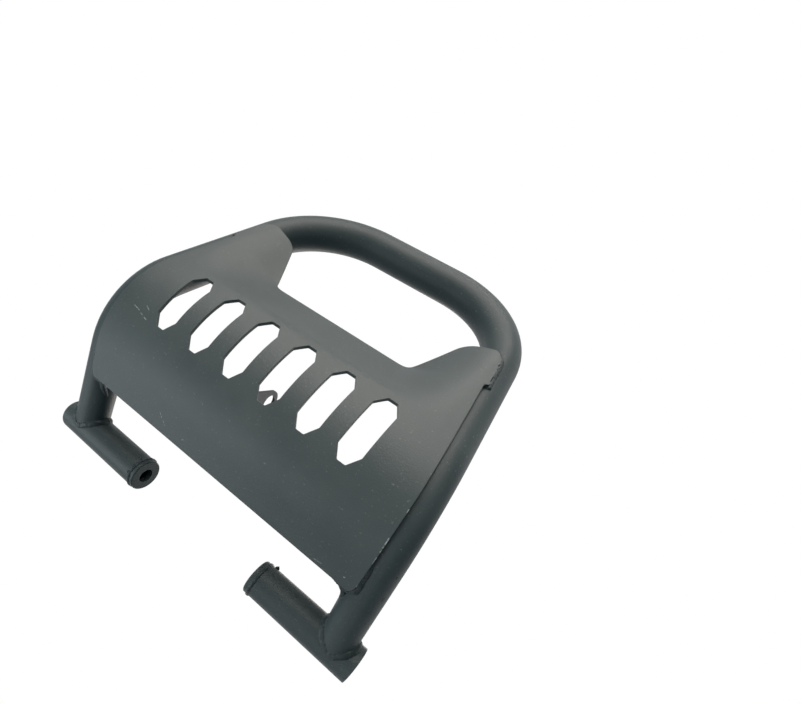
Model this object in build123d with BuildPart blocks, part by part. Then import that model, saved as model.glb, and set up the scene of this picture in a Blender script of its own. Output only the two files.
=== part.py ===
from build123d import *
import os
from math import atan2, cos, degrees, isclose, radians, sin, tan

# Front bumper of a quad bike, in millimetres.
# X runs across the vehicle, the front looks towards -Y and +Z is up.
# The origin is the middle of the bolt axis, which runs through both mounting sleeves.

# Hoop tube: centreline corners of the right half, measured from the origin
tube_od = 22.0
tube_wall = 2.0
foot_half_spacing = 114.0
knee_half_spacing = 102.8
shoulder_half_spacing = 82.9
hoop_reach = 88.3
knee_height = 48.5
hoop_height = 214.7
knee_radius = 58.3
shoulder_radius = 61.8

# Mounting sleeves and the discs on their inner ends
sleeve_od = 23.4
sleeve_wall = 2.0
sleeve_overhang = 15.4
disc_inner_face = 52.2
disc_thickness = 4.0
disc_edge_chamfer = 0.6
bolt_hole = 10.5

# Skid plate, outlined as seen from the front: insets from the legs' centrelines,
# heights from the upper end of the knee bend
sheet = 2.0
fit_gap = 0.1
tail_length = 17.7
bottom_inset = 7.2
bottom_height = -70.3
bottom_corner_radius = 3.0
side_kink_inset = 2.3
side_kink_height = -29.5
side_kink_radius = 80.0
ear_inset = 3.1
ear_height = 77.0
ear_width = 19.8
ear_outer_radius = 12.0
ear_inner_radius = 9.0
ear_foot_run = 16.3
notch_height = 41.5
notch_corner_radius = 4.0

# The strip under the notch is pressed back between the legs
strip_angle = 20.6
strip_fold_height = 4.0
back_fold_height = 45.0
fold_reach = 3.0
press_inset = 14.8
press_run = 44.0
press_stations = 6

# Long octagonal slots, lengths measured along the rolled sheet
slot_count = 6
slot_pitch = 25.56
slot_width = 14.1
slot_length = 40.7
slot_end_inset = 4.4
slot_end_taper = 6.9
slot_centre_down = 20.2

# Rear tab, its hole placed from the axis of the roll
tab_thickness = 1.5
tab_width = 15.4
tab_hole = 10.0
tab_hole_ahead = 35.2
tab_hole_down = 19.2
tab_angle = 58.6

# Weld beads, each about as wide as twice its size here
bead_sides = 8
sleeve_bead = 2.4
disc_bead = 1.5
ear_bead = 1.9
ear_bead_offset = 1.0
ear_bead_start_height = 46.0
corner_bead = 2.8
corner_bead_run = 5.5
corner_bead_rise = 14.0
tab_bead = 0.7

# Centreline of the hoop
foot = Vector(foot_half_spacing, 0, 0)
knee = Vector(knee_half_spacing, -hoop_reach, knee_height)
shoulder = Vector(shoulder_half_spacing, -hoop_reach, hoop_height)


def opposite(point):
    """The same point on the left half."""
    return Vector(-point.X, point.Y, point.Z)


with BuildLine() as hoop_line:
    FilletPolyline(
        foot,
        knee,
        shoulder,
        opposite(shoulder),
        opposite(knee),
        opposite(foot),
        radius=[knee_radius, shoulder_radius, shoulder_radius, knee_radius],
    )
leg_end = Plane(origin=foot, z_dir=knee - foot)

# Knee bend as seen from the side, which the plate is rolled round
leg_angle = degrees(atan2(hoop_reach, knee_height))
knee_turn = (knee - foot).get_angle(shoulder - knee)
knee_tangent = knee_radius * tan(radians(knee_turn / 2)) * (hoop_height - knee_height) / (shoulder - knee).length
roll_radius = knee_tangent / tan(radians(leg_angle / 2))
roll_y = roll_radius - hoop_reach
roll_z = knee_height + knee_tangent
rear_radius = roll_radius + tube_od / 2 + fit_gap
middle_radius = rear_radius + sheet / 2
front_radius = rear_radius + sheet
tail_direction = Vector(sin(radians(leg_angle)), -cos(radians(leg_angle)))


def leg_half_width(height):
    """Half spacing of the legs' centrelines, the height counted from the upper end of the knee bend."""
    drop = knee.Z - roll_z - height
    if drop < 0:
        return knee.X + (shoulder.X - knee.X) * drop / (knee.Z - shoulder.Z)
    return knee.X + (foot.X - knee.X) * drop / knee.Z


bottom_half_width = leg_half_width(bottom_height) - bottom_inset
side_kink_half_width = leg_half_width(side_kink_height) - side_kink_inset
ear_outer_half_width = leg_half_width(ear_height) - ear_inset
ear_inner_half_width = ear_outer_half_width - ear_width
notch_half_width = ear_inner_half_width - ear_foot_run
unpressed_half_width = knee_half_spacing - press_inset
pressed_half_width = unpressed_half_width - press_run
sleeve_outer_end = foot_half_spacing + sleeve_overhang

# Hoop tube
with BuildPart() as hoop_tube:
    with BuildSketch(leg_end):
        Circle(tube_od / 2)
        Circle(tube_od / 2 - tube_wall, mode=Mode.SUBTRACT)
    sweep(path=hoop_line.wire())
    with BuildSketch(Plane.YZ):
        Circle(sleeve_od / 2)
    extrude(amount=sleeve_outer_end, both=True, mode=Mode.SUBTRACT)
hoop_tube.part.label = "hoop_tube"

# Mounting sleeves
with BuildPart() as sleeve_right:
    with BuildSketch(Plane.YZ.offset(disc_inner_face + disc_thickness)):
        Circle(sleeve_od / 2)
        Circle(sleeve_od / 2 - sleeve_wall, mode=Mode.SUBTRACT)
    extrude(amount=sleeve_outer_end - disc_inner_face - disc_thickness)
sleeve_right.part.label = "sleeve_right"

with BuildPart() as sleeve_left:
    mirror(sleeve_right.part, about=Plane.YZ)
sleeve_left.part.label = "sleeve_left"

# End discs
with BuildPart() as end_disc_right:
    with BuildSketch(Plane.YZ.offset(disc_inner_face)):
        Circle(sleeve_od / 2)
        Circle(bolt_hole / 2, mode=Mode.SUBTRACT)
    extrude(amount=disc_thickness)
    chamfer(faces().sort_by(Axis.X)[0].outer_wire().edges(), length=disc_edge_chamfer)
end_disc_right.part.label = "end_disc_right"

with BuildPart() as end_disc_left:
    mirror(end_disc_right.part, about=Plane.YZ)
end_disc_left.part.label = "end_disc_left"


# Skid plate
def on_roll(radius, angle):
    """Point of the rolled sheet in the side view, the angle counted down from the bend's upper end."""
    return Vector(roll_y - radius * cos(radians(angle)), roll_z - radius * sin(radians(angle)))


def sheet_face_stations(side, share):
    """Points and directions up one face of the upper sheet, side -1 front or +1 rear.

    The share says how much of the strip's full lean the section has."""
    lean = radians(strip_angle)
    rise = back_fold_height - strip_fold_height
    folds = [
        (strip_fold_height - fold_reach, 0.0, 0.0),
        (strip_fold_height + fold_reach, fold_reach * tan(lean), lean),
        (back_fold_height - fold_reach, (rise - fold_reach) * tan(lean), lean),
        (back_fold_height + fold_reach, rise * tan(lean), 0.0),
        (ear_height + sheet, rise * tan(lean), 0.0),
    ]
    points = []
    directions = []
    for height, depth, slope in folds:
        turn = atan2(share * tan(slope), 1)
        across = side * sheet / 2
        y = roll_y - middle_radius + share * depth + across * cos(turn)
        points.append(Vector(y, roll_z + height - across * sin(turn)))
        directions.append(Vector(sin(turn), cos(turn)))
    return points, directions


def sheet_section(half_width, share):
    """Closed section of the formed sheet on a plane across X."""
    tail = tail_direction * tail_length
    front = sheet_face_stations(-1, share)
    rear = sheet_face_stations(1, share)
    with BuildSketch(Plane.YZ.offset(half_width)) as section:
        with BuildLine():
            for radius, (points, directions) in ((front_radius, front), (rear_radius, rear)):
                Line(on_roll(radius, leg_angle) + tail, on_roll(radius, leg_angle))
                ThreePointArc(on_roll(radius, leg_angle), on_roll(radius, leg_angle / 2), on_roll(radius, 0))
                Line(on_roll(radius, 0), points[0])
                Spline(*points[:-1], tangents=directions[:-1])
                Line(points[-2], points[-1])
            Line(front[0][-1], rear[0][-1])
            Line(on_roll(front_radius, leg_angle) + tail, on_roll(rear_radius, leg_angle) + tail)
        make_face()
    return section.sketch


def press_share(half_width):
    """How far the sheet is pressed back, from 0 on the legs to 1 in the strip, with soft ends."""
    u = (unpressed_half_width - half_width) / (unpressed_half_width - pressed_half_width)
    return u * u * (3 - 2 * u)


press_step = (unpressed_half_width - pressed_half_width) / press_stations
press_widths = [pressed_half_width + press_step * i for i in range(press_stations + 1)]
press_sections = [sheet_section(half_width, press_share(half_width)) for half_width in press_widths]

octagon = [
    (slot_width / 2, -(slot_length / 2 - slot_end_taper)),
    (slot_width / 2, slot_length / 2 - slot_end_taper),
    (slot_width / 2 - slot_end_inset, slot_length / 2),
    (-slot_width / 2 + slot_end_inset, slot_length / 2),
    (-slot_width / 2, slot_length / 2 - slot_end_taper),
    (-slot_width / 2, -(slot_length / 2 - slot_end_taper)),
    (-slot_width / 2 + slot_end_inset, -slot_length / 2),
    (slot_width / 2 - slot_end_inset, -slot_length / 2),
]
# Lengths along the roll, flattened on to the plane that touches it at the slots' middle
slot_outline = [(x, middle_radius * sin(y / middle_radius)) for x, y in octagon]
slot_angle = degrees(slot_centre_down / middle_radius)
slot_point = on_roll(front_radius, slot_angle)
slot_plane = Plane(
    origin=(0, slot_point.X, slot_point.Y),
    x_dir=(1, 0, 0),
    z_dir=(0, -cos(radians(slot_angle)), -sin(radians(slot_angle))),
)
slot_cut = front_radius - front_radius * cos(slot_length / 2 / middle_radius) + 2 * sheet

ear_outer_slope = (side_kink_half_width - ear_outer_half_width) / (ear_height - side_kink_height)
bottom_slope = (bottom_half_width - side_kink_half_width) / (side_kink_height - bottom_height)
outline_floor = bottom_height - tail_length


def plate_height(height):
    """Height above the origin of a height given from the upper end of the knee bend."""
    return roll_z + height


with BuildPart() as skid_plate:
    loft(sections=press_sections, ruled=True)
    extrude(to_extrude=press_sections[0], amount=pressed_half_width, dir=(-1, 0, 0))
    extrude(to_extrude=press_sections[-1], amount=foot_half_spacing - unpressed_half_width, dir=(1, 0, 0))
    with BuildSketch(Plane.XZ) as plate_outline:
        with BuildLine():
            rim = FilletPolyline(
                (bottom_half_width + bottom_slope * tail_length, plate_height(outline_floor)),
                (side_kink_half_width, plate_height(side_kink_height)),
                (ear_outer_half_width, plate_height(ear_height)),
                (ear_inner_half_width, plate_height(ear_height)),
                (notch_half_width, plate_height(notch_height)),
                (0, plate_height(notch_height)),
                radius=[side_kink_radius, ear_outer_radius, ear_inner_radius, notch_corner_radius],
            )
            Polyline(rim @ 1, (0, plate_height(outline_floor)), rim @ 0)
        make_face()
    extrude(amount=hoop_reach + 2 * tube_od, both=True, mode=Mode.INTERSECT)
    mirror(about=Plane.YZ)
    with BuildSketch(slot_plane):
        with GridLocations(slot_pitch, 0, slot_count, 1):
            Polygon(*slot_outline)
    extrude(amount=slot_cut, both=True, mode=Mode.SUBTRACT)
    corner_edges = skid_plate.edges().filter_by(lambda edge: isclose(edge.length, sheet, rel_tol=0.02))
    fillet(corner_edges.group_by(Axis.Z)[0], bottom_corner_radius)
skid_plate.part.label = "skid_plate"

# Rear tab, cut to the back of the rolled sheet
tab_hole_centre = (roll_y - tab_hole_ahead, roll_z - tab_hole_down)
with BuildPart() as rear_tab:
    with BuildSketch(Plane.YZ):
        with Locations(Location(tab_hole_centre, tab_angle)):
            Circle(tab_width / 2)
            Rectangle(rear_radius, tab_width, align=(Align.MAX, Align.CENTER))
        with Locations((roll_y, roll_z)):
            Circle(rear_radius, mode=Mode.INTERSECT)
        with Locations(tab_hole_centre):
            Circle(tab_hole / 2, mode=Mode.SUBTRACT)
    extrude(amount=tab_thickness / 2, both=True)
rear_tab.part.label = "rear_tab"

# Weld beads between the coped leg ends and the sleeves, each swept in two halves
mouth = hoop_tube.faces().sort_by(lambda face: (face.center() - foot).length)[0]
mouth_rim = mouth.outer_wire().edge()
with BuildPart() as sleeve_weld:
    for half_rim in (mouth_rim.trim(0, 0.5), mouth_rim.trim(0.5, 1)):
        with BuildSketch(Plane(origin=half_rim @ 0, z_dir=half_rim % 0)):
            RegularPolygon(sleeve_bead, bead_sides)
        sweep(path=half_rim)
    with BuildSketch(Plane.YZ):
        Circle(sleeve_od / 2)
    extrude(amount=sleeve_outer_end, mode=Mode.SUBTRACT)
    with BuildSketch(leg_end):
        Circle(tube_od / 2)
    extrude(amount=2 * sleeve_od, mode=Mode.SUBTRACT)

# Ring welds between the discs and the sleeves
with BuildPart() as disc_weld:
    with BuildSketch(Plane.XY):
        with Locations((disc_inner_face + disc_thickness, sleeve_od / 2)):
            RegularPolygon(disc_bead, bead_sides)
        with Locations((disc_inner_face + disc_thickness, 0)):
            Rectangle(4 * disc_bead, sleeve_od, mode=Mode.SUBTRACT)
    revolve(axis=Axis.X)


# Beads round the outer side of the ears
def outer_edge(height):
    """Half width of the plate above the side kink."""
    return side_kink_half_width - ear_outer_slope * (height - side_kink_height)


ear_bead_top = plate_height(ear_height) + ear_bead_offset
ear_bead_plane = Plane(origin=(0, roll_y - rear_radius, 0), x_dir=(1, 0, 0), z_dir=(0, -1, 0))
with BuildLine(ear_bead_plane) as ear_bead_line:
    FilletPolyline(
        (outer_edge(ear_bead_start_height) + ear_bead_offset, plate_height(ear_bead_start_height)),
        (outer_edge(ear_height) + ear_bead_offset, ear_bead_top),
        (outer_edge(ear_height) - ear_outer_radius, ear_bead_top),
        radius=ear_outer_radius,
    )
with BuildPart() as ear_weld:
    with BuildSketch(Plane(origin=ear_bead_line.line @ 0, z_dir=ear_bead_line.line % 0)):
        RegularPolygon(ear_bead, bead_sides)
    sweep(path=ear_bead_line.wire())
    add(skid_plate.part, mode=Mode.SUBTRACT)
    add(hoop_tube.part, mode=Mode.SUBTRACT)


# Beads round the lower corners of the plate
def tail_point(inset, rise):
    """Point of the plate's rear face, given from the lower corner inwards and up the tail."""
    place = on_roll(rear_radius, leg_angle) + tail_direction * (tail_length - rise)
    return Vector(bottom_half_width - inset, place.X, place.Y)


with BuildLine() as corner_bead_line:
    FilletPolyline(
        tail_point(corner_bead_run, 0),
        tail_point(0, 0),
        tail_point(bottom_slope * corner_bead_rise, corner_bead_rise),
        radius=bottom_corner_radius,
    )
with BuildPart() as corner_weld:
    with BuildSketch(Plane(origin=corner_bead_line.line @ 0, z_dir=corner_bead_line.line % 0)):
        RegularPolygon(corner_bead, bead_sides)
    sweep(path=corner_bead_line.wire())
    add(skid_plate.part, mode=Mode.SUBTRACT)
    add(hoop_tube.part, mode=Mode.SUBTRACT)

# Beads on both sides of the tab's foot
tab_foot_edges = rear_tab.edges().filter_by(
    lambda edge: edge.geom_type == GeomType.CIRCLE and isclose(edge.radius, rear_radius)
)
with BuildPart() as tab_weld:
    for foot_edge in tab_foot_edges:
        with BuildSketch(Plane(origin=foot_edge @ 0, z_dir=foot_edge % 0)):
            RegularPolygon(tab_bead, bead_sides)
        sweep(path=foot_edge)
    add(rear_tab.part, mode=Mode.SUBTRACT)
    add(skid_plate.part, mode=Mode.SUBTRACT)

with BuildPart() as weld_beads:
    add([sleeve_weld.part, disc_weld.part, ear_weld.part, corner_weld.part])
    mirror(about=Plane.YZ)
    add(tab_weld.part)
weld_beads.part.label = "weld_beads"

os.makedirs("parts", exist_ok=True)
export_step(hoop_tube.part, "parts/hoop_tube.step")
export_step(skid_plate.part, "parts/skid_plate.step")
export_step(sleeve_right.part, "parts/sleeve_right.step")
export_step(sleeve_left.part, "parts/sleeve_left.step")
export_step(end_disc_right.part, "parts/end_disc_right.step")
export_step(end_disc_left.part, "parts/end_disc_left.step")
export_step(rear_tab.part, "parts/rear_tab.step")
export_step(weld_beads.part, "parts/weld_beads.step")
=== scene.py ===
import bmesh
import bpy
import math
from mathutils import Matrix, Vector, geometry, kdtree, noise


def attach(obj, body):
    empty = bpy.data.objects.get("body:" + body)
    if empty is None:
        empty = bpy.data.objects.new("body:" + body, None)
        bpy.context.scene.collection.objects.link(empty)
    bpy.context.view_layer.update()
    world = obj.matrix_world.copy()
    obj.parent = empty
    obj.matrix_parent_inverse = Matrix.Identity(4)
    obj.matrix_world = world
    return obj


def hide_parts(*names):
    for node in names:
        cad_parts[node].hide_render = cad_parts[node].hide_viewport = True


# Looks of a quad bike's front bumper: a bent tube hoop, a rolled and slotted skid plate,
# cross sleeves for the frame bolts, and hand-laid weld beads, all under one satin black powder coat.
# Lengths in this script are in millimetres until MM turns them to metres.
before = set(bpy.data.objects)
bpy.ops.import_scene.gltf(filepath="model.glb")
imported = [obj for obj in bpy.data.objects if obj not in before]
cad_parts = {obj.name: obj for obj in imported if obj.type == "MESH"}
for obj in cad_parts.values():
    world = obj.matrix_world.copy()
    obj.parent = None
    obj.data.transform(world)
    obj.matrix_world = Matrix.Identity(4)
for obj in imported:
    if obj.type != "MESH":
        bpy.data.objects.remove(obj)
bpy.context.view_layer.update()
MM = 0.001

# Sizes of the tube and the plate, as in the part
TUBE_OD = 22.0
FOOT = Vector((114.0, 0.0, 0.0))
KNEE = Vector((102.8, -88.3, 48.5))
SHOULDER = Vector((82.9, -88.3, 214.7))
KNEE_RADIUS = 58.3
SHEET = 2.0
FIT_GAP = 0.1
TAIL_LENGTH = 17.7
STRIP_ANGLE = math.radians(20.6)
STRIP_FOLD, BACK_FOLD, FOLD_REACH = 4.0, 45.0, 3.0
FOLD_STEP, FOLD_STEPS = 0.5, 240
PRESSED_HALF_WIDTH, UNPRESSED_HALF_WIDTH = 44.0, 88.0
SLOT_COUNT, SLOT_PITCH, SLOT_CENTRE_DOWN = 6, 25.56, 20.2
SLOT_WIDTH, SLOT_LENGTH, SLOT_END_INSET, SLOT_END_TAPER = 14.1, 40.7, 4.4, 6.9
# The slots were cut a little off the middle
SLOT_ROW_SHIFT = -0.9
SLOT_CORNER_RADIUS = 0.9
SLEEVE_OD, DISC_FACE, DISC_THICKNESS = 23.4, 52.2, 4.0
CORNER_RADIUS = 3.0
# The drawn sheet is a hair thinner than the solid, so that it stays inside, and its edges are broken
SKIN_ALLOWANCE, EDGE_BREAK = 0.02, 0.3
# Weld metal on the ears' rims, above a height from the upper end of the knee bend and outside a distance
# from the middle, growing to its width over the two run-ins
EAR_WELD_FOOT, EAR_WELD_END, EAR_WELD_WIDTH = 45.5, 77.5, 2.1
FOOT_RUN_IN, END_RUN_IN = 1.6, 7.0
RIM_LUMP_SIZE, RIM_LUMP_HEIGHT = 2.4, 0.9
# Outline of the right half seen from the front: distance from the middle, height from the upper end of
# the knee bend, and corner radius
OUTLINE = [
    (104.0, -70.3, 0.0),
    (100.0, -29.5, 80.0),
    (86.4, 77.0, 12.0),
    (66.6, 77.0, 9.0),
    (50.3, 41.5, 4.0),
    (0.0, 41.5, 0.0),
]

# The roll of the plate follows the tube's knee bend
LEG_ANGLE = math.atan2(-KNEE.y, KNEE.z)
KNEE_TURN = (FOOT - KNEE).angle(KNEE - SHOULDER)
KNEE_TANGENT = KNEE_RADIUS * math.tan(KNEE_TURN / 2) * (SHOULDER.z - KNEE.z) / (SHOULDER - KNEE).length
ROLL_RADIUS = KNEE_TANGENT / math.tan(LEG_ANGLE / 2)
ROLL_Y = ROLL_RADIUS + KNEE.y
ROLL_Z = KNEE.z + KNEE_TANGENT
MIDDLE_RADIUS = ROLL_RADIUS + TUBE_OD / 2 + FIT_GAP + SHEET / 2


# Coats

def linear(hex_colour):
    """An sRGB hex colour as a linear colour with full alpha."""
    values = [int(hex_colour[i:i + 2], 16) / 255 for i in (1, 3, 5)]
    return tuple(v / 12.92 if v <= 0.04045 else ((v + 0.055) / 1.055) ** 2.4 for v in values) + (1.0,)


def node(tree, kind, settings=None, inputs=None, links=None):
    """Adds a node with its settings and input values, and links from earlier sockets."""
    new = tree.nodes.new(kind)
    for name, value in (settings or {}).items():
        setattr(new, name, value)
    for name, value in (inputs or {}).items():
        new.inputs[name].default_value = value
    for name, socket in (links or {}).items():
        tree.links.new(socket, new.inputs[name])
    return new


def strokes(tree, place, lines):
    """Mask of short strokes on the surface, each a start and an end in millimetres and a half width."""
    mask = None
    for start, end, half_width in lines:
        start, run = Vector(start) * MM, (Vector(end) - Vector(start)) * MM
        from_start = node(tree, "ShaderNodeVectorMath", {"operation": "SUBTRACT"},
                          {1: start}, {0: place})
        along = node(tree, "ShaderNodeVectorMath", {"operation": "DOT_PRODUCT"},
                     {1: run / run.length_squared}, {0: from_start.outputs["Vector"]})
        share = node(tree, "ShaderNodeClamp", links={"Value": along.outputs["Value"]})
        nearest = node(tree, "ShaderNodeVectorMath", {"operation": "MULTIPLY_ADD"}, {0: run, 2: start},
                       {1: share.outputs["Result"]})
        away = node(tree, "ShaderNodeVectorMath", {"operation": "DISTANCE"},
                    links={0: nearest.outputs["Vector"], 1: place})
        line = node(tree, "ShaderNodeMapRange",
                    inputs={"From Min": half_width * MM, "From Max": half_width * 0.5 * MM},
                    links={"Value": away.outputs["Value"]}).outputs["Result"]
        mask = line if mask is None else node(tree, "ShaderNodeMath", {"operation": "MAXIMUM"},
                                              links={0: mask, 1: line}).outputs["Value"]
    return mask


# Sizes of the coat's faint clouds, its peel and its dust. The peel is near 0.5 mm on the real coat, and
# is drawn at 1 mm so that it shows.
CLOUD_SIZE, PEEL_SIZE, SPECK_SIZE = 26.0, 1.0, 1.3
DUST_COLOUR, WORN_COLOUR, PIT_COLOUR = "#8b9290", "#a3aaa9", "#0c1012"


def powder_coat(name, face, shade, gloss, roughness, grit_height, wave_height, scratches=(), pits=()):
    """Satin black powder coat: baked polymer that flows into a fine orange peel, with dust in it.

    Face and shade are the colours of its lighter and darker clouds, roughness is a low and a high
    value, and the heights are in millimetres.
    """
    material = bpy.data.materials.new(name)
    material.use_nodes = True
    tree = material.node_tree
    tree.nodes.clear()
    place = node(tree, "ShaderNodeTexCoord").outputs["Object"]
    cloud = node(tree, "ShaderNodeTexNoise", inputs={"Scale": 1 / (CLOUD_SIZE * MM), "Detail": 3.0},
                 links={"Vector": place})
    peel = node(tree, "ShaderNodeTexNoise",
                inputs={"Scale": 1 / (PEEL_SIZE * MM), "Detail": 2.0, "Roughness": 0.65},
                links={"Vector": place})
    speck = node(tree, "ShaderNodeTexNoise", inputs={"Scale": 1 / (SPECK_SIZE * MM), "Detail": 1.0},
                 links={"Vector": place})
    clouded = node(tree, "ShaderNodeMapRange", inputs={"From Min": 0.35, "From Max": 0.65},
                   links={"Value": cloud.outputs["Fac"]})
    tone = node(tree, "ShaderNodeMix", {"data_type": "RGBA"}, {"A": linear(shade), "B": linear(face)},
                {"Factor": clouded.outputs["Result"]})
    dust = node(tree, "ShaderNodeMapRange", inputs={"From Min": 0.68, "From Max": 0.80, "To Max": 0.35},
                links={"Value": speck.outputs["Fac"]})
    colour = node(tree, "ShaderNodeMix", {"data_type": "RGBA"}, {"B": linear(DUST_COLOUR)},
                  {"A": tone.outputs["Result"], "Factor": dust.outputs["Result"]})
    waves = node(tree, "ShaderNodeBump", inputs={"Strength": 1.0, "Distance": wave_height * MM},
                 links={"Height": cloud.outputs["Fac"]})
    grain = node(tree, "ShaderNodeBump", inputs={"Strength": 1.0, "Distance": grit_height * MM},
                 links={"Height": peel.outputs["Fac"], "Normal": waves.outputs["Normal"]})
    for lines, worn in ((scratches, WORN_COLOUR), (pits, PIT_COLOUR)):
        if lines:
            broken = node(tree, "ShaderNodeMapRange", inputs={"From Min": 0.38, "From Max": 0.52},
                          links={"Value": peel.outputs["Fac"]})
            mask = node(tree, "ShaderNodeMath", {"operation": "MULTIPLY"},
                        links={0: strokes(tree, place, lines), 1: broken.outputs["Result"]})
            colour = node(tree, "ShaderNodeMix", {"data_type": "RGBA"}, {"B": linear(worn)},
                          {"A": colour.outputs["Result"], "Factor": mask.outputs["Value"]})
    rough = node(tree, "ShaderNodeMapRange", inputs={"To Min": roughness[0], "To Max": roughness[1]},
                 links={"Value": cloud.outputs["Fac"]})
    shader = node(tree, "ShaderNodeBsdfPrincipled",
                  inputs={"IOR": 1.5, "Specular IOR Level": gloss, "Diffuse Roughness": 0.6},
                  links={"Base Color": colour.outputs["Result"], "Roughness": rough.outputs["Result"],
                         "Normal": grain.outputs["Normal"]})
    node(tree, "ShaderNodeOutputMaterial", links={"Surface": shader.outputs["BSDF"]})
    return material


# Skid plate: a flat blank with its slots, rolled round the knee and pressed back under the notch
LEG_DIRECTION = (KNEE - FOOT).normalized()
TAIL = Vector((0.0, math.sin(LEG_ANGLE), -math.cos(LEG_ANGLE)))
ROLL_LENGTH = MIDDLE_RADIUS * LEG_ANGLE


def blank_length(height):
    """Length along the sheet of a height seen from the front, both from the upper end of the bend."""
    if height >= 0:
        return height
    if -height < MIDDLE_RADIUS * math.sin(LEG_ANGLE):
        return -MIDDLE_RADIUS * math.asin(-height / MIDDLE_RADIUS)
    return -ROLL_LENGTH - (-height - MIDDLE_RADIUS * math.sin(LEG_ANGLE)) / math.cos(LEG_ANGLE)


def soft_step(value):
    """A share from 0 to 1 that starts and ends gently."""
    value = min(1.0, max(0.0, value))
    return value * value * (3 - 2 * value)


def strip_depths():
    """How far back the middle strip lies, at even steps of height above the bend."""
    depths = [0.0]
    for i in range(FOLD_STEPS):
        height = i * FOLD_STEP
        slope = soft_step((height - STRIP_FOLD + FOLD_REACH) / (2 * FOLD_REACH))
        slope -= soft_step((height - BACK_FOLD + FOLD_REACH) / (2 * FOLD_REACH))
        depths.append(depths[-1] + slope * math.tan(STRIP_ANGLE) * FOLD_STEP)
    return depths


STRIP_DEPTHS = strip_depths()


def formed(x, length, lift=0.0):
    """Place of a point of the flat blank once it is formed, lifted off the middle of the sheet."""
    if length >= 0:
        share = soft_step((UNPRESSED_HALF_WIDTH - abs(x)) / (UNPRESSED_HALF_WIDTH - PRESSED_HALF_WIDTH))
        step = min(length / FOLD_STEP, len(STRIP_DEPTHS) - 1.001)
        depth = STRIP_DEPTHS[int(step)] * (1 - step % 1) + STRIP_DEPTHS[int(step) + 1] * (step % 1)
        return Vector((x, ROLL_Y - MIDDLE_RADIUS - lift + share * depth, ROLL_Z + length))
    turn = min(-length / MIDDLE_RADIUS, LEG_ANGLE)
    radius = MIDDLE_RADIUS + lift
    place = Vector((x, ROLL_Y - radius * math.cos(turn), ROLL_Z - radius * math.sin(turn)))
    return place + TAIL * max(0.0, -length - ROLL_LENGTH)


# Wear of the coat: strokes on the plate given on the flat blank, and pits on the right leg in space
SCRATCHES = [
    ((-87.6, -38.6), (-82.6, -39.5), 0.30),
    ((-80.9, -40.2), (-75.6, -41.5), 0.34),
    ((-80.3, -35.1), (-77.6, -36.2), 0.28),
    ((-41.8, -80.3), (-39.6, -82.6), 0.26),
    ((-37.9, -83.9), (-36.0, -85.9), 0.24),
    ((-21.1, -85.6), (-20.4, -85.0), 0.45),
    ((79.0, -89.6), (83.0, -89.0), 0.40),
    ((96.0, -86.4), (96.4, -86.1), 0.45),
    ((101.5, -55.0), (102.2, -62.5), 0.40),
    ((102.6, -66.0), (103.0, -69.5), 0.60),
    ((103.6, -85.0), (104.4, -87.0), 0.70),
    ((100.6, -39.6), (100.8, -41.6), 0.35),
]
PITS = [
    ((115.2, -64.1, 27.8), (114.8, -63.0, 27.4), 0.8),
    ((116.9, -51.0, 20.6), (116.5, -49.4, 20.2), 1.1),
    ((120.4, -31.4, 12.2), (120.0, -30.2, 12.0), 0.6),
]
formed_scratches = [(formed(*start, SHEET / 2), formed(*end, SHEET / 2), half_width)
                    for start, end, half_width in SCRATCHES]

plate_coat = powder_coat("satin_powder_coat_on_sheet", face="#51595a", shade="#4c5456", gloss=0.28,
                         roughness=(0.42, 0.50), grit_height=0.10, wave_height=0.12,
                         scratches=formed_scratches)
# The tube coat is the sheet's coat in darker colours: painted shade that deepens the tubes' dark bands.
tube_coat = powder_coat("satin_powder_coat_on_tube", face="#485153", shade="#434c4f", gloss=0.20,
                        roughness=(0.42, 0.50), grit_height=0.11, wave_height=0.08, pits=PITS)
weld_coat = powder_coat("satin_powder_coat_on_welds", face="#414a4c", shade="#353e40", gloss=0.22,
                        roughness=(0.38, 0.48), grit_height=0.12, wave_height=0.30)

coats = {"skid_plate": plate_coat, "rear_tab": plate_coat, "weld_beads": weld_coat}
for node_name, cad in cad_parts.items():
    cad.data.materials.clear()
    cad.data.materials.append(coats.get(node_name, tube_coat))


# Spacing of points on arcs and on straight runs, along the plate's rim and the slots'
RIM_ARC_STEP, RIM_STEP = 0.8, 0.9
SLOT_ARC_STEP, SLOT_STEP = 0.5, 1.6


def rounded(corners, step):
    """Points along an open line with rounded corners, each corner (x, height, radius)."""
    points = [Vector(corners[0][:2])]
    for i in range(1, len(corners) - 1):
        here, before, after = (Vector(corners[j][:2]) for j in (i, i - 1, i + 1))
        inward, outward = (before - here).normalized(), (after - here).normalized()
        half = inward.angle(outward) / 2
        reach = corners[i][2] / math.tan(half)
        centre = here + (inward + outward).normalized() * corners[i][2] / math.sin(half)
        start, end = here + inward * reach, here + outward * reach
        count = max(2, round((math.pi - 2 * half) * corners[i][2] / step))
        for k in range(count + 1):
            arm = (start - centre).lerp(end - centre, k / count)
            points.append(centre + arm.normalized() * corners[i][2])
    points.append(Vector(corners[-1][:2]))
    return points


def divided(points, step):
    """The same line with no run longer than the step."""
    line = [points[0]]
    for point in points[1:]:
        start = line[-1]
        count = max(1, round((point - start).length / step))
        line += [start.lerp(point, k / count) for k in range(1, count + 1)]
    return line


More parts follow.
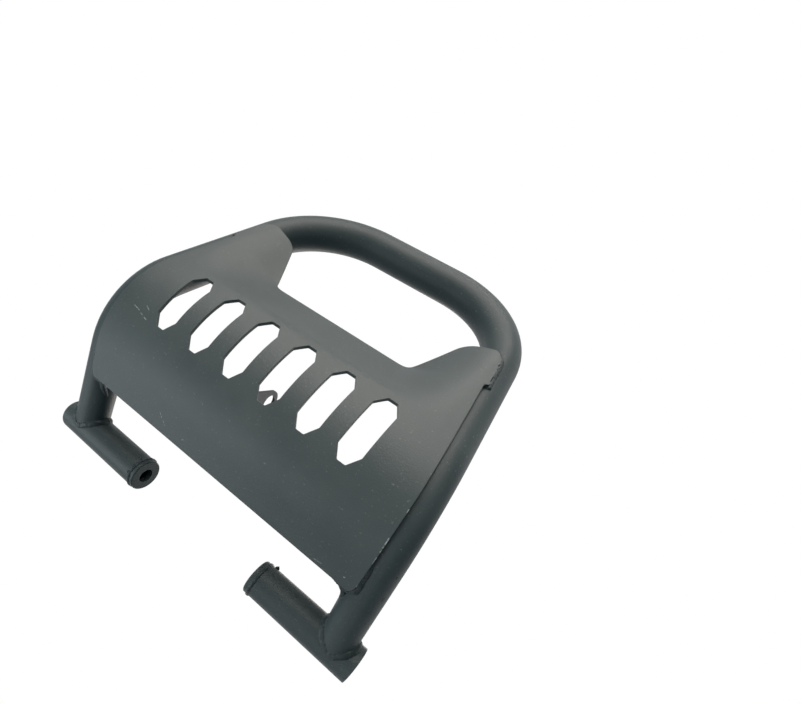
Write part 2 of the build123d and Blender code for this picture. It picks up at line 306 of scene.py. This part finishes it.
def with_melted_rim(line, seed):
    """Half the outline, pushed out in lumps where weld metal has run into the sheet round the ear."""
    moved = []
    for i, point in enumerate(line):
        run = (line[min(i + 1, len(line) - 1)] - line[max(i - 1, 0)]).normalized()
        share = soft_step((point.y - EAR_WELD_FOOT) / FOOT_RUN_IN)
        share *= soft_step((point.x - EAR_WELD_END) / END_RUN_IN)
        lump = noise.noise(Vector((point.x / RIM_LUMP_SIZE, point.y / RIM_LUMP_SIZE, seed)))
        width = EAR_WELD_WIDTH + RIM_LUMP_HEIGHT * lump
        moved.append(point + Vector((run.y, -run.x)) * share * width)
    return moved


def blank_outline():
    """Closed outline of the flat blank, the right side first, with the weld's lumps on both ears."""
    tail_height = -MIDDLE_RADIUS * math.sin(LEG_ANGLE) - TAIL_LENGTH * math.cos(LEG_ANGLE)
    slope = (OUTLINE[0][0] - OUTLINE[1][0]) / (OUTLINE[1][1] - OUTLINE[0][1])
    corner = (OUTLINE[1][0] + slope * (OUTLINE[1][1] - tail_height), tail_height, CORNER_RADIUS)
    half = divided(rounded([(0.0, tail_height, 0.0), corner] + OUTLINE[1:], RIM_ARC_STEP), RIM_STEP)
    right, left = (with_melted_rim(half, seed) for seed in (3.0, 8.0))
    right = [Vector((p.x, blank_length(p.y))) for p in right]
    left = [Vector((-p.x, blank_length(p.y))) for p in reversed(left)]
    return right[:-1] + left[:-1]


def slot_outline(middle):
    """One long octagonal slot on the flat blank, at a distance from the middle."""
    side, end = SLOT_WIDTH / 2, SLOT_LENGTH / 2
    corners = [(0.0, -end), (side - SLOT_END_INSET, -end), (side, SLOT_END_TAPER - end),
               (side, end - SLOT_END_TAPER), (side - SLOT_END_INSET, end), (0.0, end)]
    arcs = rounded([(x, y, SLOT_CORNER_RADIUS) for x, y in corners], SLOT_ARC_STEP)
    right = divided(arcs, SLOT_STEP)
    ring = right[:-1] + [Vector((-p.x, p.y)) for p in reversed(right)][:-1]
    return [Vector((middle + p.x, p.y - SLOT_CENTRE_DOWN)) for p in ring]


def inside(point, ring):
    """Whether a point lies within a closed line."""
    odd = False
    for a, b in zip(ring, ring[1:] + ring[:1]):
        if (a.y > point.y) != (b.y > point.y):
            if point.x < a.x + (point.y - a.y) * (b.x - a.x) / (b.y - a.y):
                odd = not odd
    return odd


# Spacing of points inside the blank, and how near its rim they come as a share of that spacing
PLATE_GRID, RIM_CLEARANCE = 2.4, 0.55
# Twice the area, in square millimetres, of a triangle so thin that it would stick out once formed
SLIVER = 0.02


def plate_mesh():
    """Middle surface of the formed plate, meshed flat with its outline and slots, then formed."""
    outline = blank_outline()
    slots = [slot_outline((i - (SLOT_COUNT - 1) / 2) * SLOT_PITCH + SLOT_ROW_SHIFT)
             for i in range(SLOT_COUNT)]
    points, edges = [], []
    for ring in [outline] + slots:
        first = len(points)
        points += ring
        edges += [(first + i, first + (i + 1) % len(ring)) for i in range(len(ring))]
    rim = len(points)
    near = kdtree.KDTree(rim)
    for i, point in enumerate(points):
        near.insert(point.to_3d(), i)
    near.balance()
    low = min(p.y for p in outline)
    high = max(p.y for p in outline)
    wide = max(p.x for p in outline)
    for row in range(int((high - low) / PLATE_GRID) + 1):
        for column in range(-int(wide / PLATE_GRID), int(wide / PLATE_GRID) + 1):
            point = Vector(((column + row % 2 / 2) * PLATE_GRID, low + row * PLATE_GRID))
            if near.find(point.to_3d())[2] > PLATE_GRID * RIM_CLEARANCE and inside(point, outline):
                if not any(inside(point, ring) for ring in slots):
                    points.append(point)
    flat, _, triangles, *_ = geometry.delaunay_2d_cdt(points, edges, [], 0, 1e-5)
    kept = []
    for triangle in triangles:
        a, b, c = (flat[i] for i in triangle)
        if abs((b - a).cross(c - a)) < SLIVER:
            continue
        if max(triangle) < rim:
            middle = (a + b + c) / 3
            if not inside(middle, outline) or any(inside(middle, ring) for ring in slots):
                continue
        kept.append(triangle)
    mesh = bpy.data.meshes.new("skid_plate_sheet")
    mesh.from_pydata([formed(p.x, p.y) * MM for p in flat], [], kept)
    return mesh


def coated(name, mesh, coat):
    """A piece with its coat that rides on the part."""
    mesh.name = name
    mesh.materials.clear()
    mesh.materials.append(coat)
    piece = bpy.data.objects.new(name, mesh)
    bpy.context.scene.collection.objects.link(piece)
    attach(piece, "root")
    return piece


def as_mesh(shape):
    """A plain mesh of the object with its modifiers. The object goes."""
    bpy.context.view_layer.update()
    mesh = bpy.data.meshes.new_from_object(shape.evaluated_get(bpy.context.evaluated_depsgraph_get()))
    bpy.data.objects.remove(shape)
    return mesh


def skid_plate():
    """The formed plate, with its thickness and broken edges."""
    sheet = bpy.data.objects.new("sheet", plate_mesh())
    bpy.context.scene.collection.objects.link(sheet)
    for polygon in sheet.data.polygons:
        polygon.use_smooth = True
    wall = sheet.modifiers.new("wall", "SOLIDIFY")
    wall.thickness, wall.offset = (SHEET - SKIN_ALLOWANCE) * MM, 0.0
    wall.use_even_offset = True
    rim = sheet.modifiers.new("rim", "BEVEL")
    rim.width, rim.segments = EDGE_BREAK * MM, 2
    rim.limit_method, rim.angle_limit = "ANGLE", math.radians(50)
    rim.harden_normals = True
    plate = coated("formed_skid_plate", as_mesh(sheet), plate_coat)
    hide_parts("skid_plate")


skid_plate()


# Weld beads: each follows the joint that it closes, in overlapping ripples
BEAD_STEP, BEAD_SIDES = 0.35, 20
MOUTH_POINTS, RING_POINTS = 120, 90
EDGE_ARC_STEP, EDGE_STEP = 0.6, 1.0
# Size of the stretches in which the ripples lie closer or wider, and of the lumps
WOBBLE_SIZE, LUMP_SIZE = 5.0, 2.2
NO_TAPER = 0.01
# How deep a drop is rooted in the sleeve, and the steps along it
DROP_ROOT, DROP_STEPS = 1.0, 6


def bead_tree():
    """Geometry nodes that lay a rippled, lumpy bead along the edges of a line mesh."""
    tree = bpy.data.node_groups.new("laid_weld_bead", "GeometryNodeTree")
    tree.is_modifier = True
    sockets = tree.interface
    sockets.new_socket("Line", in_out="INPUT", socket_type="NodeSocketGeometry")
    for name, value in (("Bead Radius", 0.002), ("Ripple Length", 0.002), ("Ripple Depth", 0.1),
                        ("Lump Height", 0.0003), ("Start Taper", 0.003), ("End Taper", 0.003)):
        sockets.new_socket(name, in_out="INPUT", socket_type="NodeSocketFloat").default_value = value
    sockets.new_socket("Seed", in_out="INPUT", socket_type="NodeSocketFloat").default_value = 7.0
    sockets.new_socket("Coat", in_out="INPUT", socket_type="NodeSocketMaterial")
    sockets.new_socket("Bead", in_out="OUTPUT", socket_type="NodeSocketGeometry")
    given = node(tree, "NodeGroupInput").outputs
    curve = node(tree, "GeometryNodeMeshToCurve", links={"Mesh": given["Line"]})
    even = node(tree, "GeometryNodeResampleCurve", {"mode": "LENGTH"}, {"Length": BEAD_STEP * MM},
                {"Curve": curve.outputs["Curve"]})
    along = node(tree, "GeometryNodeSplineParameter")
    wobble = node(tree, "ShaderNodeTexNoise", {"noise_dimensions": "4D"},
                  {"Scale": 1 / (WOBBLE_SIZE * MM), "Detail": 1.0}, {"W": given["Seed"]})
    turns = node(tree, "ShaderNodeMath", {"operation": "DIVIDE"},
                 links={0: along.outputs["Length"], 1: given["Ripple Length"]})
    uneven = node(tree, "ShaderNodeMath", {"operation": "MULTIPLY_ADD"}, {1: 1.6},
                  {0: wobble.outputs["Fac"], 2: turns.outputs["Value"]})
    scallop = node(tree, "ShaderNodeMath", {"operation": "FRACT"}, links={0: uneven.outputs["Value"]})
    crest = node(tree, "ShaderNodeMath", {"operation": "SMOOTH_MIN"}, {1: 0.8, 2: 0.4},
                 {0: scallop.outputs["Value"]})
    ripple = node(tree, "ShaderNodeMath", {"operation": "MULTIPLY_ADD"}, {2: 1.0},
                  {0: crest.outputs["Value"], 1: given["Ripple Depth"]})
    total = node(tree, "GeometryNodeCurveLength", links={"Curve": even.outputs["Curve"]})
    left_over = node(tree, "ShaderNodeMath", {"operation": "SUBTRACT"},
                     links={0: total.outputs["Length"], 1: along.outputs["Length"]})
    width = node(tree, "ShaderNodeMath", {"operation": "MULTIPLY"},
                 links={0: ripple.outputs["Value"], 1: given["Bead Radius"]})
    for reach, taper in ((along.outputs["Length"], "Start Taper"),
                         (left_over.outputs["Value"], "End Taper")):
        grown = node(tree, "ShaderNodeMapRange", {"interpolation_type": "SMOOTHSTEP"}, {"To Min": 0.25},
                     {"Value": reach, "From Max": given[taper]})
        width = node(tree, "ShaderNodeMath", {"operation": "MULTIPLY"},
                     links={0: width.outputs["Value"], 1: grown.outputs["Result"]})
    section = node(tree, "GeometryNodeCurvePrimitiveCircle",
                   inputs={"Resolution": BEAD_SIDES, "Radius": 1.0})
    bead = node(tree, "GeometryNodeCurveToMesh", inputs={"Fill Caps": True},
                links={"Curve": even.outputs["Curve"], "Profile Curve": section.outputs["Curve"],
                       "Scale": width.outputs["Value"]})
    lumps = node(tree, "ShaderNodeTexNoise", {"noise_dimensions": "4D"},
                 {"Scale": 1 / (LUMP_SIZE * MM), "Detail": 2.0}, {"W": given["Seed"]})
    about = node(tree, "ShaderNodeMath", {"operation": "SUBTRACT"}, {1: 0.5}, {0: lumps.outputs["Fac"]})
    height = node(tree, "ShaderNodeMath", {"operation": "MULTIPLY"},
                  links={0: about.outputs["Value"], 1: given["Lump Height"]})
    outward = node(tree, "GeometryNodeInputNormal")
    push = node(tree, "ShaderNodeVectorMath", {"operation": "SCALE"},
                links={"Vector": outward.outputs["Normal"], "Scale": height.outputs["Value"]})
    rough = node(tree, "GeometryNodeSetPosition",
                 links={"Geometry": bead.outputs["Mesh"], "Offset": push.outputs["Vector"]})
    smooth = node(tree, "GeometryNodeSetShadeSmooth", links={"Geometry": rough.outputs["Geometry"]})
    solid = node(tree, "GeometryNodeRealizeInstances", links={"Geometry": smooth.outputs["Geometry"]})
    coat = node(tree, "GeometryNodeSetMaterial",
                links={"Geometry": solid.outputs["Geometry"], "Material": given["Coat"]})
    node(tree, "NodeGroupOutput", links={"Bead": coat.outputs["Geometry"]})
    return tree


def laid_bead(tree, line, closed, sizes):
    """Mesh of one bead along a line of points in millimetres."""
    mesh = bpy.data.meshes.new("line")
    edges = [(i, i + 1) for i in range(len(line) - 1)] + ([(len(line) - 1, 0)] if closed else [])
    mesh.from_pydata([point * MM for point in line], edges, [])
    path_object = bpy.data.objects.new("line", mesh)
    bpy.context.scene.collection.objects.link(path_object)
    laying = path_object.modifiers.new("bead", "NODES")
    laying.node_group = tree
    keys = {item.name: item.identifier for item in tree.interface.items_tree
            if item.item_type == "SOCKET"}
    for name, value in sizes.items():
        laying[keys[name]] = value
    laying[keys["Coat"]] = weld_coat
    return as_mesh(path_object)


def leg(side):
    """Foot and upward direction of a leg's centreline, side 1 on the right and -1 on the left."""
    foot = Vector((side * FOOT.x, 0.0, 0.0))
    along = Vector((side * LEG_DIRECTION.x, LEG_DIRECTION.y, LEG_DIRECTION.z))
    return foot, along


def mouth_line(side, sink):
    """Joint of a coped leg end and its sleeve, sunk where the two surfaces run nearly flush."""
    foot, along = leg(side)
    across = along.cross(Vector((1.0, 0.0, 0.0))).normalized()
    third = along.cross(across)
    line = []
    for i in range(MOUTH_POINTS):
        turn = math.tau * i / MOUTH_POINTS
        leg_side = across * math.cos(turn) + third * math.sin(turn)
        base = foot + leg_side * TUBE_OD / 2
        a = along.y ** 2 + along.z ** 2
        b = 2 * (base.y * along.y + base.z * along.z)
        c = base.y ** 2 + base.z ** 2 - (SLEEVE_OD / 2) ** 2
        point = base + along * (-b + math.sqrt(b * b - 4 * a * c)) / (2 * a)
        sleeve_side = Vector((0.0, point.y, point.z)).normalized()
        flush = max(0.0, leg_side.dot(sleeve_side))
        line.append(point - (leg_side + sleeve_side) * sink * (0.5 + 0.5 * flush) / 2)
    return line


def ring_line(x, radius):
    """Joint of an end disc and its sleeve."""
    turns = [math.tau * i / RING_POINTS for i in range(RING_POINTS)]
    return [Vector((x, radius * math.cos(turn), radius * math.sin(turn))) for turn in turns]


def fillet_line(side, bottom):
    """Weld metal that rounds the inner corner between the plate's lower edge and the leg.

    A curve from the back of the sheet to the inner side of the leg, drawn towards the corner between them.
    """
    foot, along = leg(side)
    start = formed(side * 91.0, bottom + 1.4, -1.0)
    handle = Vector((side * 103.2, -44.8, 15.6))
    up_the_leg = (formed(side * 104.0, bottom) - foot).dot(along) - 20.0
    end = foot + along * up_the_leg - Vector((side * 10.0, 0.0, 0.0))
    return [start.lerp(handle, t).lerp(handle.lerp(end, t), t) for t in (i / 16 for i in range(17))]


def drop_line(place, reach):
    """A drop of weld metal that is rooted in the sleeve and stands off it."""
    place = Vector(place)
    outward = Vector((0.0, place.y, place.z)).normalized()
    return [place + outward * (reach * i / DROP_STEPS - DROP_ROOT * (1 - i / DROP_STEPS))
            for i in range(DROP_STEPS + 1)]


def edge_line(side, corners, lift):
    """Line beside the plate's edge, given on the flat blank as (x, length, radius)."""
    flat = divided(rounded(corners, EDGE_ARC_STEP), EDGE_STEP)
    return [formed(side * p.x, p.y, lift) for p in flat]


def weld_beads():
    """All beads and drops as one piece of laid metal."""
    tree = bead_tree()
    bottom = -ROLL_LENGTH - TAIL_LENGTH
    ear = [(93.2, 45.4, 0.0), (88.8, 78.2, 12.0), (76.0, 78.2, 0.0)]
    corner = [(84.0, bottom + 0.2, 0.0), (104.4, bottom - 0.6, 3.0), (103.0, bottom + 14.0, 30.0),
              (101.8, bottom + 24.0, 0.0)]
    # Where a disc meets its sleeve, sunk a little into both
    ring_x = DISC_FACE + DISC_THICKNESS - 0.2
    ring_radius = SLEEVE_OD / 2 - 0.9
    beads = []
    for side in (1, -1):
        # Line, whether closed, radius, ripple length and depth, lumps, tapers at the start and end, seed
        for line, closed, radius, ripple, depth, lump, start, end, seed in (
                (mouth_line(side, 3.0), True, 3.5, 3.2, 0.06, 1.6, NO_TAPER, NO_TAPER, 3.0),
                (ring_line(side * ring_x, ring_radius), True, 1.5, 2.4, 0.08, 1.2, NO_TAPER, NO_TAPER,
                 13.0),
                (edge_line(side, ear, -1.6), False, 1.7, 2.4, 0.10, 1.1, 1.5, 6.0, 23.0),
                (edge_line(side, corner, -2.0), False, 2.3, 2.6, 0.10, 1.8, 14.0, 8.0, 33.0),
                (fillet_line(side, bottom), False, 2.1, 2.6, 0.05, 0.8, 7.0, 8.0, 43.0)):
            sizes = {"Bead Radius": radius * MM, "Ripple Length": ripple * MM, "Ripple Depth": depth,
                     "Lump Height": lump * MM, "Start Taper": start * MM, "End Taper": end * MM,
                     "Seed": seed + side}
            beads.append(laid_bead(tree, line, closed, sizes))
    # Drops of spatter: place on the sleeve, how far each stands off, and radius
    for place, reach, radius in (((59.8, -3.8, 11.0), 1.9, 1.4), ((-55.8, -7.0, -9.6), 0.9, 1.5),
                                 ((-57.6, -11.2, 3.6), 0.7, 1.5), ((-57.4, -8.6, -8.2), 0.8, 1.2)):
        sizes = {"Bead Radius": radius * MM, "Ripple Depth": 0.0, "Lump Height": 0.5 * MM,
                 "Start Taper": NO_TAPER * MM, "End Taper": 1.2 * MM, "Seed": 53.0}
        beads.append(laid_bead(tree, drop_line(place, reach), False, sizes))
    joined = bmesh.new()
    for bead in beads:
        joined.from_mesh(bead)
        bpy.data.meshes.remove(bead)
    mesh = bpy.data.meshes.new("laid_weld_beads")
    joined.to_mesh(mesh)
    joined.free()
    piece = coated("laid_weld_beads", mesh, weld_coat)
    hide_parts("weld_beads")


weld_beads()


# Camera: below, in front and to the right, turned on its side as the photograph is. It was all fitted to
# the photograph: the place, the directions of the picture's right and lower sides, and the lens, whose
# middle came out away from the middle of the picture.
PICTURE_WIDTH, PICTURE_HEIGHT = 801, 704
CAMERA_PLACE = Vector((104.1426, -237.2828, -59.3404))
CAMERA_RIGHT = Vector((0.75305835, -0.1011875, 0.65012631))
CAMERA_DOWN = Vector((0.60056498, 0.50931131, -0.6163795))
FOCAL_LENGTH_PIXELS = 392.8017
LENS_MIDDLE_PIXELS = (295.4743, 489.8159)
SENSOR_WIDTH = 36.0


def look():
    """The camera, with its picture shifted so that the lens's middle falls where it was fitted."""
    camera = bpy.data.objects.new("camera", bpy.data.cameras.new("camera"))
    backward = CAMERA_RIGHT.cross(-CAMERA_DOWN).normalized()
    turn = Matrix((CAMERA_RIGHT, -CAMERA_DOWN, backward)).transposed().to_4x4()
    camera.matrix_world = Matrix.Translation(CAMERA_PLACE * MM) @ turn
    camera.data.sensor_width = SENSOR_WIDTH
    camera.data.lens = FOCAL_LENGTH_PIXELS * SENSOR_WIDTH / PICTURE_WIDTH
    camera.data.shift_x = (PICTURE_WIDTH / 2 - LENS_MIDDLE_PIXELS[0]) / PICTURE_WIDTH
    camera.data.shift_y = (LENS_MIDDLE_PIXELS[1] - PICTURE_HEIGHT / 2) / PICTURE_WIDTH
    camera.data.clip_start = 0.005
    bpy.context.scene.collection.objects.link(camera)
    bpy.context.scene.camera = camera


look()


# Light: soft boxes to the left, in front, above, low and behind, with weak cool light all round.
# White paper stands behind and above the part: the camera sees it all round, and the coat mirrors it
# from there. Lengths here are in metres.
LIT_PLACE = Vector((0.0, -0.05, 0.1))
WARM_WHITE, COOL_WHITE, DIM_COLOUR = "#fff6ee", "#f2fbff", "#2f9aa8"
WHITE = (1.0, 1.0, 1.0, 1.0)
PAPER_SIDE = (0.0, 0.9, 0.44)


def soft_box(name, side, distance, size, power, colour):
    """A square soft box that looks at the part from the given side."""
    lamp = bpy.data.lights.new(name, "AREA")
    lamp.shape, lamp.size, lamp.energy, lamp.color = "SQUARE", size, power, linear(colour)[:3]
    box = bpy.data.objects.new(name, lamp)
    away = Vector(side).normalized()
    box.location = LIT_PLACE + away * distance
    box.rotation_mode = "QUATERNION"
    box.rotation_quaternion = (-away).to_track_quat("-Z", "Y")
    bpy.context.scene.collection.objects.link(box)


soft_box("left_soft_box", (-0.40, -0.84, 0.37), 1.2, 0.9, 12.2, WARM_WHITE)
soft_box("front_soft_box", (0.05, -0.95, 0.28), 1.2, 0.9, 9.2, WARM_WHITE)
soft_box("upper_soft_box", (-0.10, -0.62, 0.79), 1.2, 0.45, 3.8, WARM_WHITE)
soft_box("low_soft_box", (-0.58, -0.10, -0.80), 0.9, 0.6, 3.9, COOL_WHITE)
soft_box("back_soft_box", (0.05, 0.86, 0.50), 1.2, 0.7, 4.2, WARM_WHITE)


def white_world():
    """White all round for the camera, white behind and above for reflections, weak cool light else."""
    world = bpy.data.worlds.new("pale_studio")
    bpy.context.scene.world = world
    world.use_nodes = True
    sky = world.node_tree
    sky.nodes.clear()
    ray = node(sky, "ShaderNodeLightPath")
    seen = node(sky, "ShaderNodeMath", {"operation": "MAXIMUM"},
                links={0: ray.outputs["Is Camera Ray"], 1: ray.outputs["Is Transmission Ray"]})
    direction = node(sky, "ShaderNodeTexCoord")
    toward = node(sky, "ShaderNodeVectorMath", {"operation": "DOT_PRODUCT"}, {1: PAPER_SIDE},
                  {0: direction.outputs["Generated"]})
    paper = node(sky, "ShaderNodeMapRange", inputs={"From Min": 0.0, "From Max": 0.3},
                 links={"Value": toward.outputs["Value"]})
    mirrored = node(sky, "ShaderNodeMath", {"operation": "MULTIPLY"},
                    links={0: ray.outputs["Is Glossy Ray"], 1: paper.outputs["Result"]})
    shown = node(sky, "ShaderNodeMath", {"operation": "MAXIMUM"},
                 links={0: seen.outputs["Value"], 1: mirrored.outputs["Value"]})
    dim = node(sky, "ShaderNodeBackground", inputs={"Color": linear(DIM_COLOUR), "Strength": 0.2})
    white = node(sky, "ShaderNodeBackground", inputs={"Color": WHITE, "Strength": 1.0})
    both = node(sky, "ShaderNodeMixShader",
                links={0: shown.outputs["Value"], 1: dim.outputs["Background"],
                       2: white.outputs["Background"]})
    node(sky, "ShaderNodeOutputWorld", links={"Surface": both.outputs["Shader"]})


def paper_floor(half_size, height, whiteness):
    """Pale paper floor: the camera and the coat see it nearly white, with a faint shadow of the part."""
    material = bpy.data.materials.new("pale_paper_floor")
    material.use_nodes = True
    ground = material.node_tree
    ground.nodes.clear()
    ray = node(ground, "ShaderNodeLightPath")
    direct = node(ground, "ShaderNodeMath", {"operation": "MAXIMUM"},
                  links={0: ray.outputs["Is Camera Ray"], 1: ray.outputs["Is Glossy Ray"]})
    share = node(ground, "ShaderNodeMath", {"operation": "MULTIPLY"}, {1: whiteness},
                 {0: direct.outputs["Value"]})
    paper = node(ground, "ShaderNodeBsdfDiffuse", inputs={"Color": linear("#f4f4f4")})
    white = node(ground, "ShaderNodeEmission", inputs={"Color": WHITE, "Strength": 1.0})
    both = node(ground, "ShaderNodeMixShader",
                links={0: share.outputs["Value"], 1: paper.outputs["BSDF"],
                       2: white.outputs["Emission"]})
    node(ground, "ShaderNodeOutputMaterial", links={"Surface": both.outputs["Shader"]})
    mesh = bpy.data.meshes.new("floor")
    corners = [(x * half_size, y * half_size, height) for x, y in ((-1, -1), (1, -1), (1, 1), (-1, 1))]
    mesh.from_pydata(corners, [], [(0, 1, 2, 3)])
    mesh.materials.append(material)
    floor = bpy.data.objects.new("floor", mesh)
    bpy.context.scene.collection.objects.link(floor)


white_world()
paper_floor(half_size=0.8, height=-1.2, whiteness=0.85)

bpy.context.scene.view_settings.view_transform = "Standard"
